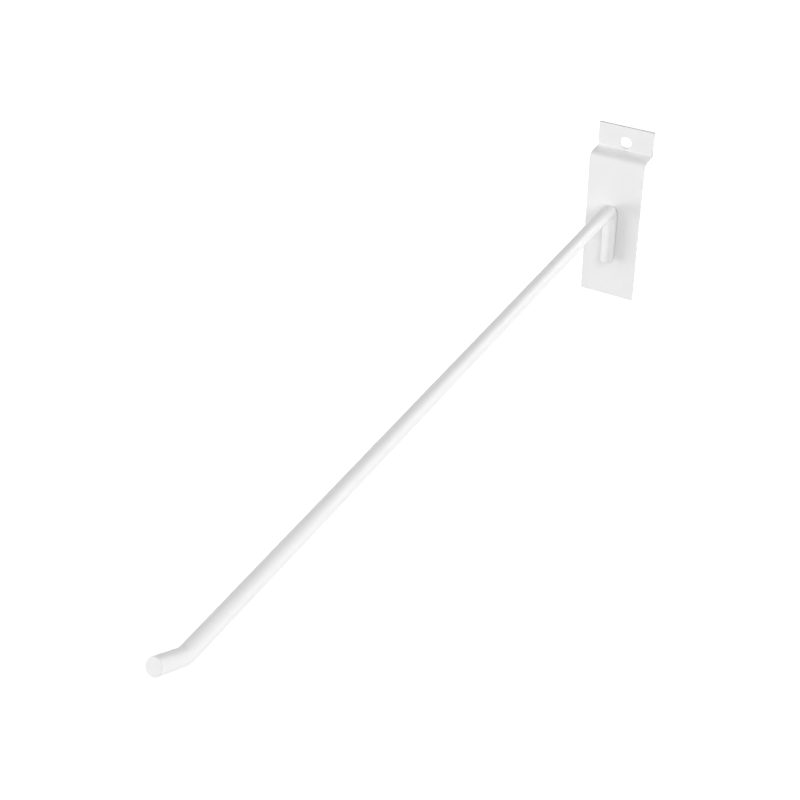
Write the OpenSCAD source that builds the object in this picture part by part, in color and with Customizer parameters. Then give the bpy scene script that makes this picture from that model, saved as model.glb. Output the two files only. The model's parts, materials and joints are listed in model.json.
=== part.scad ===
// Slatwall hook: a pressed steel strip with a step that hangs it in a panel's groove,
// and one bent round wire welded to the strip's front.
// Origin: centre of the main plate's back face, which rests on the panel.
// +Y goes into the wall, +Z is up, and the arm reaches out along -Y.

/* [Back plate] */
// Width of the steel strip
strip_w = 25.4; // [18:0.2:40]
// Thickness of the steel strip
strip_t = 1.2; // [0.8:0.1:2]
// Height of the main plate, from its foot to the top of the ledge
plate_h = 70; // [56:0.5:100]
// Step back from the front of the main plate to the front of the tab
step_back = 9.2; // [7:0.1:14]
// Height of the tab above the ledge
tab_h = 11; // [8.5:0.5:16]
// Inside radius of the bend between the main plate and the ledge
ledge_bend_r = 1.8; // [0.8:0.1:2.5]
// Inside radius of the bend between the ledge and the tab
tab_bend_r = 0.6; // [0.4:0.1:0.8]

/* [Hole in the tab] */
// Diameter of the hole, a clearance hole for a 5 mm screw
hole_d = 5.3; // [4:0.1:5.6]
// Height of the hole's centre above the ledge
hole_up = 3.5; // [3.4:0.1:5]

/* [Hook wire] */
// Diameter of the round wire
wire_d = 6; // [4:0.2:8]
// Depth of the flat that the weld presses into the back of the wire
weld_flat = 0.4; // [0.2:0.1:0.8]
// Height of the wire's foot above the foot of the main plate
leg_foot_up = 20; // [5:0.5:24]
// Height above the foot of the main plate where the arm's line meets the leg's line
arm_up = 47; // [42:0.5:60]
// Centre-line radius of the bend from the leg into the arm
root_bend_r = 5; // [4.5:0.5:12]
// Upward tilt of the arm, in degrees
arm_tilt = 4; // [0:0.5:10]
// Length of the arm, from the leg's line to the corner of the tip
arm_len = 315; // [100:1:400]
// Angle by which the tip turns up from the arm, in degrees
tip_turn = 29.5; // [15:0.5:60]
// Centre-line radius of the bend into the tip
tip_bend_r = 6; // [5:0.5:14]
// Length of the tip, from its corner to the end of the wire
tip_len = 15; // [10:0.5:30]
// Rounding of the wire's cut ends
end_round = 0.4; // [0.2:0.1:0.8]

/* [Hidden] */
$fn = 96;

// Heights, with the origin half way up the main plate
plate_foot_z = -plate_h / 2;
ledge_top_z = plate_h / 2;

// Depths, with the back of the main plate at 0
plate_front_y = -strip_t;
tab_front_y = plate_front_y + step_back;
tab_back_y = tab_front_y + strip_t;

// Outside radii of the strip's bends
ledge_bend_out = ledge_bend_r + strip_t;
tab_bend_out = tab_bend_r + strip_t;

// The wire's line: its axis stands off the plate by its radius, less the weld's flat
wire_r = wire_d / 2;
leg_y = plate_front_y - wire_r + weld_flat;
leg_foot_z = plate_foot_z + leg_foot_up;
arm_root_z = plate_foot_z + arm_up;
root_turn = 90 - arm_tilt;

// What each bend takes from the straight lengths on either side of its corner
root_setback = root_bend_r * tan(root_turn / 2);
tip_setback = tip_bend_r * tan(tip_turn / 2);

// A bend is this much fatter than the wire, and the straight lengths run this far into it
bend_swell = 0.01;
let_in = 0.2;

// Steel strip seen from the side: X here is depth, Y is height
module strip_outline() {
    // Main plate, up to the start of the front bend
    translate([plate_front_y, plate_foot_z])
        square([strip_t, plate_h - ledge_bend_out]);
    // Bend from the main plate into the ledge
    translate([plate_front_y + ledge_bend_out, ledge_top_z - ledge_bend_out])
        bend_outline(ledge_bend_r, [-1, 1]);
    // Ledge, between the two bends
    translate([plate_front_y + ledge_bend_out, ledge_top_z - strip_t])
        square([tab_back_y - tab_bend_out - plate_front_y - ledge_bend_out, strip_t]);
    // Bend from the ledge up into the tab
    translate([tab_back_y - tab_bend_out, ledge_top_z - strip_t + tab_bend_out])
        bend_outline(tab_bend_r, [1, -1]);
    // Tab
    translate([tab_front_y, ledge_top_z + tab_bend_r])
        square([strip_t, tab_h - tab_bend_r]);
}

// Quarter ring of the strip's thickness, in the quadrant that corner points to
module bend_outline(inside_r, corner) {
    outside_r = inside_r + strip_t;
    intersection() {
        difference() {
            circle(r = outside_r);
            circle(r = inside_r);
        }
        translate([min(corner[0], 0) * outside_r, min(corner[1], 0) * outside_r])
            square(outside_r);
    }
}

// Strip bent into a step, with a round hole through its tab
module back_plate() {
    color("white")
        difference() {
            translate([-strip_w / 2, 0, 0])
                rotate([90, 0, 90])
                    linear_extrude(strip_w)
                        strip_outline();
            translate([0, tab_back_y + strip_t, ledge_top_z + hole_up])
                rotate([90, 0, 0])
                    cylinder(d = hole_d, h = 3 * strip_t);
        }
}

// Straight length of wire along +Z, let into the bends at its ends, with what follows it
module wire_run(length) {
    translate([0, 0, -let_in])
        cylinder(d = wire_d, h = length + 2 * let_in);
    translate([0, 0, length])
        children();
}

// Bend of the wire towards -Y, or towards +Y for a negative angle, with what follows it
module wire_bend(radius, angle) {
    side = angle < 0 ? 180 : 0;
    turn = abs(angle);
    rotate([0, 0, side])
        translate([0, -radius, 0]) {
            rotate([90, 0, 90])
                rotate_extrude(angle = turn)
                    translate([radius, 0])
                        circle(r = wire_r + bend_swell);
            rotate([turn, 0, 0])
                translate([0, radius, 0])
                    rotate([0, 0, side])
                        children();
        }
}

// Last length of wire along +Z, with the edge of its cut end rounded
module wire_end(length) {
    translate([0, 0, -let_in])
        rotate_extrude() {
            square([wire_r, length + let_in - end_round]);
            square([wire_r - end_round, length + let_in]);
            translate([wire_r - end_round, length + let_in - end_round])
                circle(r = end_round);
        }
}

// One wire: a leg welded up the plate, the arm and the upturned tip
module hook_wire() {
    leg_run = arm_root_z - root_setback - leg_foot_z;
    foot_run = leg_run / 2;
    color("white")
        difference() {
            translate([0, leg_y, leg_foot_z + foot_run]) {
                rotate([180, 0, 0])
                    wire_end(foot_run);
                wire_run(leg_run - foot_run)
                    wire_bend(root_bend_r, root_turn)
                        wire_run(arm_len - root_setback - tip_setback)
                            wire_bend(tip_bend_r, -tip_turn)
                                wire_end(tip_len - tip_setback);
            }
            // The weld seats the leg flat on the front of the plate
            translate([-wire_d, plate_front_y, leg_foot_z - wire_d])
                cube([2 * wire_d, wire_d, arm_up - leg_foot_up + 2 * wire_d]);
        }
}

back_plate();
hook_wire();
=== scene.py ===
# %% [markdown]
# A slatwall hook is two pieces of steel, welded and then powder-coated white: a strip
# pressed into a step, and one bent wire. This lesson dresses both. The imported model
# gives every size and place, so the first cell loads it and keeps its box.

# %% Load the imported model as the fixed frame
import json
import math
import bmesh
import bpy
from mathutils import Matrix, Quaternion, Vector


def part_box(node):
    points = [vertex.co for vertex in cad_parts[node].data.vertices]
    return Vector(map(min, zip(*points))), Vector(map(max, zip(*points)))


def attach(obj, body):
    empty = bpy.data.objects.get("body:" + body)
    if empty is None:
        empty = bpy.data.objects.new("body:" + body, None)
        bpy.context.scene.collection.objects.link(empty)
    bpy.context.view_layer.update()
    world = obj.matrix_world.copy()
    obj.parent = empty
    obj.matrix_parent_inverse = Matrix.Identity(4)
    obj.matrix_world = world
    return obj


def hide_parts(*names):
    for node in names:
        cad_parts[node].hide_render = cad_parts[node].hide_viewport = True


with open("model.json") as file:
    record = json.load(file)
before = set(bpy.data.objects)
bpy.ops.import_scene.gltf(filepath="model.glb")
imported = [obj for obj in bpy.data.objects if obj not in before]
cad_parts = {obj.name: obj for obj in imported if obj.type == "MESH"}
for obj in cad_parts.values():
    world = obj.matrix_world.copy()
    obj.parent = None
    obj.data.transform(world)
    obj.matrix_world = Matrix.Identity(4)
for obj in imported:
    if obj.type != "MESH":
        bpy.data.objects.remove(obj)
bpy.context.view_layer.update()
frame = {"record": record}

MM = 0.001
plate_low, plate_high = (Vector(corner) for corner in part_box("back_plate"))
wire_low, wire_high = (Vector(corner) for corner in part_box("hook_wire"))
mounts = {mount["name"]: mount for mount in frame["record"]["mounts"]}
print("plate box, mm:", [round(v / MM, 2) for v in (*plate_low, *plate_high)])
print("wire box, mm:", [round(v / MM, 2) for v in (*wire_low, *wire_high)])

# %% [markdown]
# The camera comes first, because everything after it is judged through it. It was
# matched to the photograph by fitting a pinhole camera to the straight edges of the
# plate and the wire. The picture is square, so the lens is given against the width.
# The photograph leans a little, and the roll repeats that.

# %% Camera at the photograph's angle
camera_place = Vector((185.63, -513.97, 331.00)) * MM
camera_aim = Vector((-15.66, -167.05, 13.31)) * MM
camera_roll = math.radians(-1.681)

camera_data = bpy.data.cameras.new("camera")
camera_data.sensor_fit = "HORIZONTAL"
camera_data.sensor_width = 36.0
camera_data.lens = 62.93
camera_data.clip_start = 0.01
camera = bpy.data.objects.new("camera", camera_data)
camera.location = camera_place
camera.rotation_mode = "QUATERNION"
level_view = (camera_aim - camera_place).to_track_quat("-Z", "Y")
camera.rotation_quaternion = level_view @ Quaternion((0, 0, 1), camera_roll)
bpy.context.scene.collection.objects.link(camera)
bpy.context.scene.camera = camera
print("camera distance, mm:", round((camera_aim - camera_place).length / MM, 1))

# %% [markdown]
# The back plate is a flat strip with a punched hole before the press bends it. It
# could be carved from a block, but a bent strip is easier to get right when it is made
# the way the press makes it: a flat sheet, described by its place across (x) and along
# (s), is bent by one function. Depth n counts from the front skin towards the back.
# The two bends are true arcs, so both skins come out round.

# %% Sizes of the strip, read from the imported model
strip_width = plate_high.x - plate_low.x
front_y = plate_low.y
foot_z = plate_low.z
tab_top_z = plate_high.z
sheet = mounts["tab_hole"]["dims"]["length_mm"] * MM
hole_radius = mounts["tab_hole"]["dims"]["r_mm"] * MM
hole_z = mounts["tab_hole"]["pos_m"][2]
tab_front_y = mounts["lip_face"]["pos_m"][1]
ledge_top_z = mounts["ledge_seat"]["pos_m"][2] + sheet
ledge_bend_inside = 1.8 * MM
ledge_bend_outside = ledge_bend_inside + sheet
tab_bend_inside = 0.3 * MM
print("sheet, mm:", round(sheet / MM, 2), "ledge top at, mm:", round(ledge_top_z / MM, 2))

# %% Where along the front skin each bend starts and ends
lengths = (
    ledge_top_z - ledge_bend_outside - foot_z,
    ledge_bend_outside * math.pi / 2,
    tab_front_y - tab_bend_inside - front_y - ledge_bend_outside,
    tab_bend_inside * math.pi / 2,
    tab_top_z - ledge_top_z - tab_bend_inside,
)
plate_end, front_bend_end, ledge_end, tab_bend_end, strip_end = (
    sum(lengths[:count + 1]) for count in range(len(lengths)))
hole_s = tab_bend_end + hole_z - ledge_top_z - tab_bend_inside
print("front skin is", round(strip_end / MM, 2), "mm long, hole at", round(hole_s / MM, 2), "mm")

# %% The press: from the flat sheet to the bent strip


def bent(x, s, n):
    """Place in the bent strip of the sheet's point x across, s along and n deep."""
    if s <= plate_end:
        return Vector((x, front_y + n, foot_z + s))
    front_centre_y = front_y + ledge_bend_outside
    if s <= front_bend_end:
        turn = (s - plate_end) / ledge_bend_outside
        reach = ledge_bend_outside - n
        return Vector((x, front_centre_y - reach * math.cos(turn),
                       ledge_top_z - ledge_bend_outside + reach * math.sin(turn)))
    if s <= ledge_end:
        return Vector((x, front_centre_y + s - front_bend_end, ledge_top_z - n))
    tab_centre_z = ledge_top_z + tab_bend_inside
    if s <= tab_bend_end:
        turn = (s - ledge_end) / tab_bend_inside
        reach = tab_bend_inside + n
        return Vector((x, tab_front_y - tab_bend_inside + reach * math.sin(turn),
                       tab_centre_z - reach * math.cos(turn)))
    return Vector((x, tab_front_y + n, tab_centre_z + s - tab_bend_end))


print("the hole's centre lands at, mm:", [round(v / MM, 2) for v in bent(0, hole_s, 0)])

# %% [markdown]
# The flat sheet is a grid of cells. Rows lie close together where the sheet bends and
# far apart where it stays flat. One extra line close to each sheared edge keeps the
# shading of the flat skin flat right up to the rounded edge. Around the hole the grid
# gives way to a fan of rings, so that the hole is round and no long thin cell meets it.

# %% Grid lines of the flat sheet
sheared_round = 0.09 * MM
punched_round = 0.07 * MM
hold = 0.04 * MM
fan_half_width = 4.2 * MM
slack = 1e-9


def spread(start, end, count):
    """Evenly spaced values after start, up to and with end."""
    return [start + (end - start) * (k + 1) / count for k in range(count)]


side = strip_width / 2
first_line = sheared_round + hold
columns = [-side, -side + first_line]
columns += spread(-side + first_line, -fan_half_width, 5)
columns += spread(-fan_half_width, fan_half_width, 20)
columns += spread(fan_half_width, side - first_line, 5)
columns += [side]
fan_end = hole_s + fan_half_width
rows = [0.0, first_line]
rows += spread(first_line, plate_end, 22)
rows += spread(plate_end, front_bend_end, 14)
rows += spread(front_bend_end, ledge_end, 3)
rows += spread(ledge_end, tab_bend_end, 8)
rows += spread(tab_bend_end, fan_end, 16)
rows += spread(fan_end, strip_end - first_line, 2)
rows += [strip_end]
print("sheet grid:", len(columns), "columns,", len(rows), "rows")

# %% The blank: one skin of the sheet with its round hole
blank = bmesh.new()
grid = {}
for i, x in enumerate(columns):
    for j, s in enumerate(rows):
        in_width = abs(x) < fan_half_width - slack
        in_height = tab_bend_end + slack < s < fan_end - slack
        if not (in_width and in_height):
            grid[i, j] = blank.verts.new((x, s, 0.0))
for i in range(len(columns) - 1):
    for j in range(len(rows) - 1):
        corners = [(i, j), (i + 1, j), (i + 1, j + 1), (i, j + 1)]
        middle_x = (columns[i] + columns[i + 1]) / 2
        middle_s = (rows[j] + rows[j + 1]) / 2
        in_fan = abs(middle_x) < fan_half_width and tab_bend_end < middle_s < fan_end
        if not in_fan:
            blank.faces.new([grid[corner] for corner in corners])
print("cells round the fan:", len(blank.faces))

# %% The fan of rings round the punched hole
fan_columns = [i for i, x in enumerate(columns) if abs(x) <= fan_half_width + slack]
fan_rows = [j for j, s in enumerate(rows) if tab_bend_end - slack <= s <= fan_end + slack]
left, right, low, high = fan_columns[0], fan_columns[-1], fan_rows[0], fan_rows[-1]
frame_loop = [(i, low) for i in fan_columns[:-1]] + [(right, j) for j in fan_rows[:-1]]
frame_loop += [(i, high) for i in reversed(fan_columns[1:])]
frame_loop += [(left, j) for j in reversed(fan_rows[1:])]
outer_ring = [grid[key] for key in frame_loop]
ring_shares = (0.75, 0.5, 0.25, 0.0)
for share in ring_shares:
    rim = hole_radius + punched_round + hold if share else hole_radius
    inner_ring = []
    for corner in (grid[key] for key in frame_loop):
        away = Vector((corner.co.x, corner.co.y - hole_s))
        outward = away.normalized()
        reach = rim + (away.length - rim) * share
        place = (outward.x * reach, outward.y * reach + hole_s, 0.0)
        inner_ring.append(blank.verts.new(place))
    for k in range(len(frame_loop)):
        after = (k + 1) % len(frame_loop)
        blank.faces.new([outer_ring[k], outer_ring[after], inner_ring[after], inner_ring[k]])
    outer_ring = inner_ring
print("points round the hole:", len(frame_loop))

# %% [markdown]
# Powder coat flows a little as it is baked, so a sheared edge under it is softly
# round, while the rim of the punched hole stays crisper. The blank gets its thickness
# by extrusion and its rounds by bevels, still flat. Only then is every point moved
# through the press, which keeps the rounds even along the bends.

# %% Thickness and rounded edges
sharp_turn = math.radians(60)
skin = list(blank.faces)
pushed = bmesh.ops.extrude_face_region(blank, geom=skin)
for vert in (item for item in pushed["geom"] if isinstance(item, bmesh.types.BMVert)):
    vert.co.z = sheet
bmesh.ops.recalc_face_normals(blank, faces=blank.faces)


def sharp_edges(mesh, near_hole):
    """Edges where the sheet turns a corner, at the hole's rim or away from it."""
    found = []
    for edge in mesh.edges:
        if len(edge.link_faces) == 2 and edge.calc_face_angle() > sharp_turn:
            middle = (edge.verts[0].co + edge.verts[1].co) / 2
            from_hole = math.hypot(middle.x, middle.y - hole_s)
            if (from_hole < hole_radius + hold) == near_hole:
                found.append(edge)
    return found


for near_hole, width, steps in ((True, punched_round, 3), (False, sheared_round, 5)):
    bmesh.ops.bevel(blank, geom=sharp_edges(blank, near_hole), offset=width, segments=steps,
                    profile=0.5, affect="EDGES", clamp_overlap=True)
print("sheet with rounded edges:", len(blank.faces), "faces")

# %% [markdown]
# The strip's long sides are slit and smooth, but its two ends are cropped and the hole
# is punched. The cropped ends and the punched wall get painted shade, a darker grey:
# it is the dark line along the top of the tab. While the sheet is still flat these
# places are easy to name, and a number on each point marks them.

# %% Mark the cropped ends and the punched wall for painted shade, then bend the sheet
# Each point's number marks where painted shade goes: the cropped ends and the hole's wall.
cut_shade_layer = blank.verts.layers.float.new("painted_cut_shade")
for vert in blank.verts:
    x, s, _ = vert.co
    at_end = min(s, strip_end - s) < hold / 2
    in_hole = math.hypot(x, s - hole_s) < hole_radius + hold / 2
    vert[cut_shade_layer] = 1.0 if at_end or in_hole else 0.0
# Counts the points that get painted shade on the cropped ends and the hole's wall.
print("thinly coated points:", sum(vert[cut_shade_layer] > 0 for vert in blank.verts))
for vert in blank.verts:
    vert.co = bent(*vert.co)
bmesh.ops.recalc_face_normals(blank, faces=blank.faces)
closed = all(edge.is_manifold for edge in blank.edges)
print("pressed strip:", len(blank.faces), "faces, all closed:", closed)

# %% [markdown]
# A helper turns finished mesh code into a piece. It shades smooth, rides on the fixed
# body, and may stand for a imported node, which is then hidden but keeps its place for
# collisions.

# %% From mesh code to a piece of the hook


def finished_piece(name, mesh_code, stands_for=None):
    """A smooth piece with this name, made from mesh code."""
    mesh = bpy.data.meshes.new(name)
    mesh_code.to_mesh(mesh)
    mesh_code.free()
    mesh.shade_smooth()
    piece = bpy.data.objects.new(name, mesh)
    bpy.context.scene.collection.objects.link(piece)
    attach(piece, "root")
    if stands_for:
        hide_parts(stands_for)
    print(name, "has", len(mesh.polygons), "faces")
    return piece


strip_piece = finished_piece("pressed_strip", blank, "back_plate")

# %% [markdown]
# The hook wire is one length of round steel, cut, bent twice and welded. A curve with
# a round bevel would do for the length, but not for the weld's flat or the trimmed
# ends, so rings are set along the line one by one. The line is drawn the way a wire
# bender works: run straight, turn round a former, run straight again.

# %% The wire bender: a line of stops, each with a heading
wire_radius = mounts["arm"]["dims"]["r_mm"] * MM
weld_flat = 0.4 * MM
root_bend, tip_bend = 5.0 * MM, 6.0 * MM
arm_tilt, tip_turn = math.radians(4), math.radians(29.5)
arm_root_z = 12.0 * MM
arm_length, tip_length = 315.0 * MM, 15.0 * MM
leg_y = front_y - wire_radius + weld_flat
root_turn = math.pi / 2 - arm_tilt


def heading(turned):
    """Direction of the wire, and the side it turns to, after turning out from the leg."""
    along = Vector((0, -math.sin(turned), math.cos(turned)))
    inward = Vector((0, -math.cos(turned), -math.sin(turned)))
    return along, inward


def run(stops, length, step):
    """Feed the wire straight on."""
    place, turned = stops[-1]
    count = max(1, round(length / step))
    along, _ = heading(turned)
    stops += [(place + along * length * (k + 1) / count, turned) for k in range(count)]


def turn(stops, radius, angle, count):
    """Turn the wire round a former of this centre-line radius."""
    place, turned = stops[-1]
    sense = 1 if angle > 0 else -1
    centre = place + heading(turned)[1] * radius * sense
    for k in range(count):
        now = turned + angle * (k + 1) / count
        stops.append((centre - heading(now)[1] * radius * sense, now))


print("wire", round(2 * wire_radius / MM, 2), "mm thick, its leg's line",
      round((front_y - leg_y) / MM, 2), "mm in front of the plate")

# %% The hook's own line, from the foot of the leg to the end of the tip
root_setback = root_bend * math.tan(root_turn / 2)
tip_setback = tip_bend * math.tan(tip_turn / 2)
leg_foot_z = wire_low.z
leg_step, arm_step, tip_step = 0.8 * MM, 2.0 * MM, 1.0 * MM
root_stops, tip_stops = 36, 16
wire_line = [(Vector((0, leg_y, leg_foot_z)), 0.0)]
run(wire_line, arm_root_z - root_setback - leg_foot_z, leg_step)
turn(wire_line, root_bend, root_turn, root_stops)
run(wire_line, arm_length - root_setback - tip_setback, arm_step)
turn(wire_line, tip_bend, -tip_turn, tip_stops)
run(wire_line, tip_length - tip_setback, tip_step)
print("wire line:", len(wire_line), "stops, ends at, mm:",
      [round(v / MM, 2) for v in wire_line[-1][0]])

# %% [markdown]
# The cut ends are trimmed square and their rims are rounded by tumbling and paint.
# Each end is a few short rings that turn the side into the flat face. The weld presses
# the back of the leg flat against the plate: every point that would pass the plate's
# front is set back onto it.

# %% Rings round the line, with rounded ends and the weld's flat
end_round = 0.4 * MM
round_rings = 6
ring_points = 72
end_rings = []
for sense, (place, turned) in ((1, wire_line[0]), (-1, wire_line[-1])):
    along = heading(turned)[0] * sense
    rings = [(place, turned, wire_radius - end_round - hold)]
    for k in range(round_rings):
        lean = math.pi / 2 * k / (round_rings - 1)
        rings.append((place + along * end_round * (1 - math.cos(lean)), turned,
                      wire_radius - end_round * (1 - math.sin(lean))))
    end_rings.append(rings)
line_rings = [(place, turned, wire_radius) for place, turned in wire_line[1:-1]]
all_rings = end_rings[0] + line_rings + end_rings[1][::-1]

wire = bmesh.new()
loops = []
for place, turned, radius in all_rings:
    inward = heading(turned)[1]
    loop = []
    for k in range(ring_points):
        around = 2 * math.pi * k / ring_points
        sideways = Vector((math.cos(around), 0, 0))
        point = place + sideways * radius + inward * radius * math.sin(around)
        point.y = min(point.y, front_y)
        loop.append(wire.verts.new(point))
    loops.append(loop)
for one, other in zip(loops, loops[1:]):
    for k in range(ring_points):
        after = (k + 1) % ring_points
        wire.faces.new([one[k], one[after], other[after], other[k]])
wire.faces.new(loops[0])
wire.faces.new(loops[-1])
bmesh.ops.recalc_face_normals(wire, faces=wire.faces)
wire_piece = finished_piece("bent_wire", wire, "hook_wire")

# %% [markdown]
# White powder coat is a thick, even polyester skin. It isn't a flat colour: it has an
# orange-peel ripple about a millimetre or two across, a gloss that shows soft
# reflections, and a faint unevenness where the powder settled. Noise in the object's
# own coordinates gives all of these at their real size, and follows the pieces when
# they move. Painted shade greys the colour along the line where the wire meets the
# plate and at the foot of the tab, where the crevices are. Ambient occlusion over
# about a millimetre finds those crevices, wherever they are.

# %% Tones and sizes of the powder coat and of its painted shade
coat_tints = ((0.856, 0.856, 0.856, 1), (0.876, 0.874, 0.873, 1))
# Painted shade: the grey that occlusion mixes in along the crevices.
crevice_shade_grey = (0.42, 0.42, 0.42, 1)
# Painted shade: the grey on the cropped ends and the punched wall.
cut_shade_grey = (0.72, 0.72, 0.73, 1)
crevice_shade_reach = 1.2 * MM
crevice_shade_range = (0.15, 0.60)
paint_ior, surface_gloss = 1.5, 0.3
rough_range = (0.28, 0.34)
peel_depth, peel_strength = 0.03 * MM, 0.35
noise_range = (0.2, 0.8)
tint_noise, gloss_noise, peel_noise = (220, 4), (160, 3), (650, 2)
print("orange peel, mm across:", round(1 / peel_noise[0] / MM, 1))

# %% Helpers for noise, ranges and mixes of colour


def noise(nodes, links, scale, detail):
    """Noise in the object's own coordinates; the scale counts waves in a metre."""
    texture = nodes.new("ShaderNodeTexNoise")
    texture.inputs["Scale"].default_value = scale
    texture.inputs["Detail"].default_value = detail
    links.new(nodes.new("ShaderNodeTexCoord").outputs["Object"], texture.inputs["Vector"])
    return texture.outputs["Fac"]


def ranged(nodes, links, value, was, becomes):
    """The value, moved from the range it was in to the range it becomes."""
    stretch = nodes.new("ShaderNodeMapRange")
    for name, number in zip(("From Min", "From Max", "To Min", "To Max"), was + becomes):
        stretch.inputs[name].default_value = number
    links.new(value, stretch.inputs["Value"])
    return stretch.outputs["Result"]


def mixed(nodes, links, share, colour, other):
    """The colour, giving way to the other one as the share goes from 0 to 1."""
    mix = nodes.new("ShaderNodeMix")
    mix.data_type = "RGBA"
    links.new(share, mix.inputs["Factor"])
    links.new(colour, mix.inputs["A"])
    mix.inputs["B"].default_value = other
    return mix.outputs["Result"]


# %% The powder coat


def coat_colour_with_painted_shade(nodes, links):
    """White with a faint unevenness, and painted shade: grey in tight corners and on the cuts.
    """
    tint = nodes.new("ShaderNodeMix")
    tint.data_type = "RGBA"
    tint.inputs["A"].default_value, tint.inputs["B"].default_value = coat_tints
    cloud = ranged(nodes, links, noise(nodes, links, *tint_noise), noise_range, (0, 1))
    links.new(cloud, tint.inputs["Factor"])
    # Painted shade: ambient occlusion darkens the coat to grey in crevices, where shade falls.
    corner = nodes.new("ShaderNodeAmbientOcclusion")
    corner.samples = 16
    corner.inputs["Distance"].default_value = crevice_shade_reach
    crevice_shade_share = ranged(nodes, links, corner.outputs["AO"], crevice_shade_range, (1, 0))
    shaded_coat = mixed(nodes, links, crevice_shade_share, tint.outputs["Result"], crevice_shade_grey)
    # Painted shade: the cropped ends and the punched wall, marked on the points, are mixed to
    # grey.
    cut_shade_mask = nodes.new("ShaderNodeAttribute")
    cut_shade_mask.attribute_name = "painted_cut_shade"
    return mixed(nodes, links, cut_shade_mask.outputs["Fac"], shaded_coat, cut_shade_grey)


def powder_coat():
    """White satin-gloss powder coat with orange peel, to go over both pieces."""
    coat = bpy.data.materials.new("white_powder_coat")
    coat.use_nodes = True
    nodes, links = coat.node_tree.nodes, coat.node_tree.links
    shader = nodes["Principled BSDF"]
    shader.inputs["IOR"].default_value = paint_ior
    shader.inputs["Specular IOR Level"].default_value = surface_gloss
    links.new(coat_colour_with_painted_shade(nodes, links), shader.inputs["Base Color"])
    unevenness = noise(nodes, links, *gloss_noise)
    rough = ranged(nodes, links, unevenness, noise_range, rough_range)
    links.new(rough, shader.inputs["Roughness"])
    peel = nodes.new("ShaderNodeBump")
    peel.inputs["Strength"].default_value = peel_strength
    peel.inputs["Distance"].default_value = peel_depth
    links.new(noise(nodes, links, *peel_noise), peel.inputs["Height"])
    links.new(peel.outputs["Normal"], shader.inputs["Normal"])
    return coat


coat = powder_coat()
for piece in (strip_piece, wire_piece):
    piece.data.materials.append(coat)
print("powder coat on:", strip_piece.name, "and", wire_piece.name)

# %% [markdown]
# The photograph shows the hook on plain white. The floor here is a pale plane well
# below it, so that its shadow stays soft. To the camera the floor and the world are
# white, with the shadow left in, but they send only their own soft light to the hook.

# %% Pale floor and white surroundings
floor_z = -0.62
floor_half = 4.0
floor_tint = (0.8, 0.8, 0.8, 1)
floor_lift = 0.93


def seen_directly(nodes, links):
    """1 for a ray that shows the surroundings, straight or in a glossy or clear surface."""
    path = nodes.new("ShaderNodeLightPath")
    total = path.outputs["Is Camera Ray"]
    for name in ("Is Glossy Ray", "Is Transmission Ray"):
        either = nodes.new("ShaderNodeMath")
        either.operation = "MAXIMUM"
        links.new(total, either.inputs[0])
        links.new(path.outputs[name], either.inputs[1])
        total = either.outputs[0]
    return total


def pale_floor():
    """Pale matt floor, lifted to white where it is seen, with its shadows left in."""
    material = bpy.data.materials.new("pale_floor")
    material.use_nodes = True
    nodes, links = material.node_tree.nodes, material.node_tree.links
    nodes.remove(nodes["Principled BSDF"])
    matt = nodes.new("ShaderNodeBsdfDiffuse")
    matt.inputs["Color"].default_value = floor_tint
    lift = nodes.new("ShaderNodeEmission")
    lifted = nodes.new("ShaderNodeMath")
    lifted.operation = "MULTIPLY"
    lifted.inputs[1].default_value = floor_lift
    links.new(seen_directly(nodes, links), lifted.inputs[0])
    links.new(lifted.outputs[0], lift.inputs["Strength"])
    both = nodes.new("ShaderNodeAddShader")
    links.new(matt.outputs[0], both.inputs[0])
    links.new(lift.outputs[0], both.inputs[1])
    links.new(both.outputs[0], nodes["Material Output"].inputs["Surface"])
    return material


floor_mesh = bpy.data.meshes.new("floor")
floor_corners = [(-floor_half, -floor_half, floor_z), (floor_half, -floor_half, floor_z),
                 (floor_half, floor_half, floor_z), (-floor_half, floor_half, floor_z)]
floor_mesh.from_pydata(floor_corners, [], [(0, 1, 2, 3)])
floor_mesh.materials.append(pale_floor())
floor = bpy.data.objects.new("floor", floor_mesh)
bpy.context.scene.collection.objects.link(floor)
print("floor lies", round((foot_z - floor_z) / MM), "mm below the hook")

# %% [markdown]
# The world is white where it is seen. As a light it is dim, and dimmer overhead than
# at the sides, like a studio with pale walls and a dark ceiling: the faces of the hook
# that look up are the greyest in the photograph.

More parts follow.
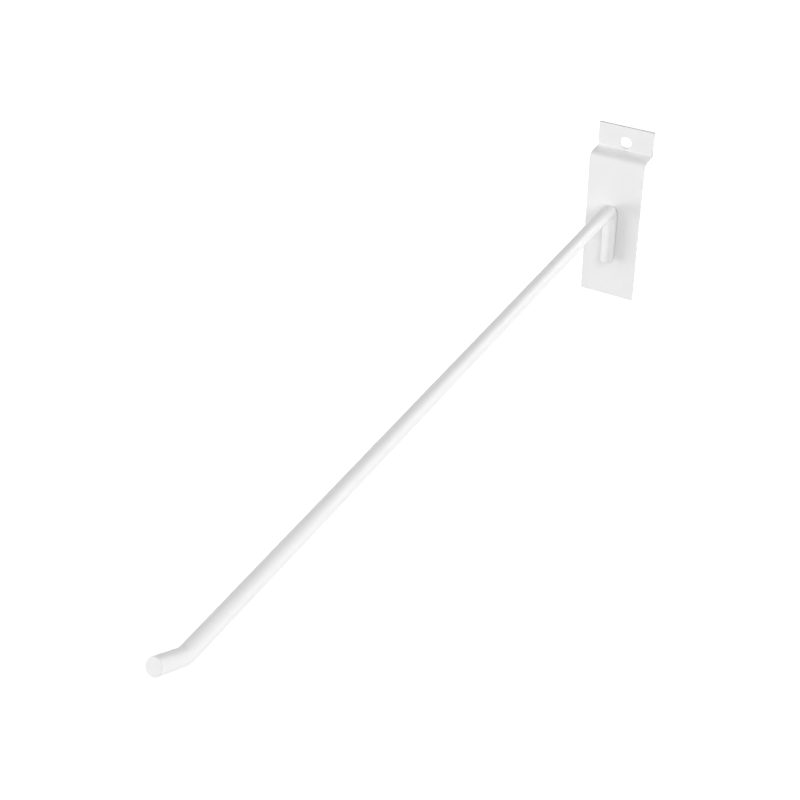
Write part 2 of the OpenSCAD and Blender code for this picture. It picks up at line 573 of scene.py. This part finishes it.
# %% The world: white where it is seen, dim as a light
side_light, top_light = 0.25, 0.0
world = bpy.data.worlds.new("white_surroundings")
world.use_nodes = True
bpy.context.scene.world = world
nodes, links = world.node_tree.nodes, world.node_tree.links
ambient = nodes["Background"]
ambient.inputs["Color"].default_value = (1, 1, 1, 1)
height = nodes.new("ShaderNodeSeparateXYZ")
links.new(nodes.new("ShaderNodeTexCoord").outputs["Generated"], height.inputs[0])
walls = nodes.new("ShaderNodeMapRange")
walls.inputs["To Min"].default_value = side_light
walls.inputs["To Max"].default_value = top_light
links.new(height.outputs["Z"], walls.inputs["Value"])
links.new(walls.outputs["Result"], ambient.inputs["Strength"])
backdrop = nodes.new("ShaderNodeBackground")
backdrop.inputs["Color"].default_value = (1, 1, 1, 1)
backdrop.inputs["Strength"].default_value = 1.0
chosen = nodes.new("ShaderNodeMixShader")
links.new(seen_directly(nodes, links), chosen.inputs["Fac"])
links.new(ambient.outputs[0], chosen.inputs[1])
links.new(backdrop.outputs[0], chosen.inputs[2])
links.new(chosen.outputs[0], nodes["World Output"].inputs["Surface"])
print("world light: sides", side_light, "top", top_light)

# %% [markdown]
# The lamps are large squares, so far away that they light the arm alike along its whole
# length. Two are on the left, one of them high up. One is high up at the front right,
# and two stand to the right and behind it, where they light the arm's right side. Each
# was first rendered alone, and the mix nearest to the photograph's tones was kept. A
# lamp's strength is given as the share of full white that it lends, by itself, to a
# face turned straight at it.

# %% Soft boxes
lamp_distance = 1.8
lamp_size = 1.1
hook_middle = Vector((0, -0.16, 0.02))
soft_boxes = {
    "left": (-60, 0, 0.49),
    "high_left": (-60, 50, 0.23),
    "front_right": (40, 38, 0.65),
    "side_right": (120, 0, 0.29),
    "behind_right": (150, 15, 0.35),
}


def soft_box(name, azimuth, elevation, share):
    """A square lamp on a sphere round the hook; azimuth 0 is the front, 90 the right."""
    around, up = math.radians(azimuth), math.radians(elevation)
    level = math.cos(up)
    out = Vector((math.sin(around) * level, -math.cos(around) * level, math.sin(up)))
    data = bpy.data.lights.new(name, "AREA")
    data.shape = "SQUARE"
    data.size = lamp_size
    data.energy = share * (math.pi * lamp_distance) ** 2
    lamp = bpy.data.objects.new(name, data)
    lamp.location = hook_middle + out * lamp_distance
    lamp.rotation_mode = "QUATERNION"
    lamp.rotation_quaternion = (-out).to_track_quat("-Z", "Y")
    lamp.visible_camera = False
    bpy.context.scene.collection.objects.link(lamp)
    return lamp


for name, (azimuth, elevation, share) in soft_boxes.items():
    soft_box(name, azimuth, elevation, share)
print("soft boxes:", ", ".join(soft_boxes))

# %% [markdown]
# The picture keeps the plain Standard view, so that a colour renders about as it is
# written.

# %% View
bpy.context.scene.view_settings.view_transform = "Standard"
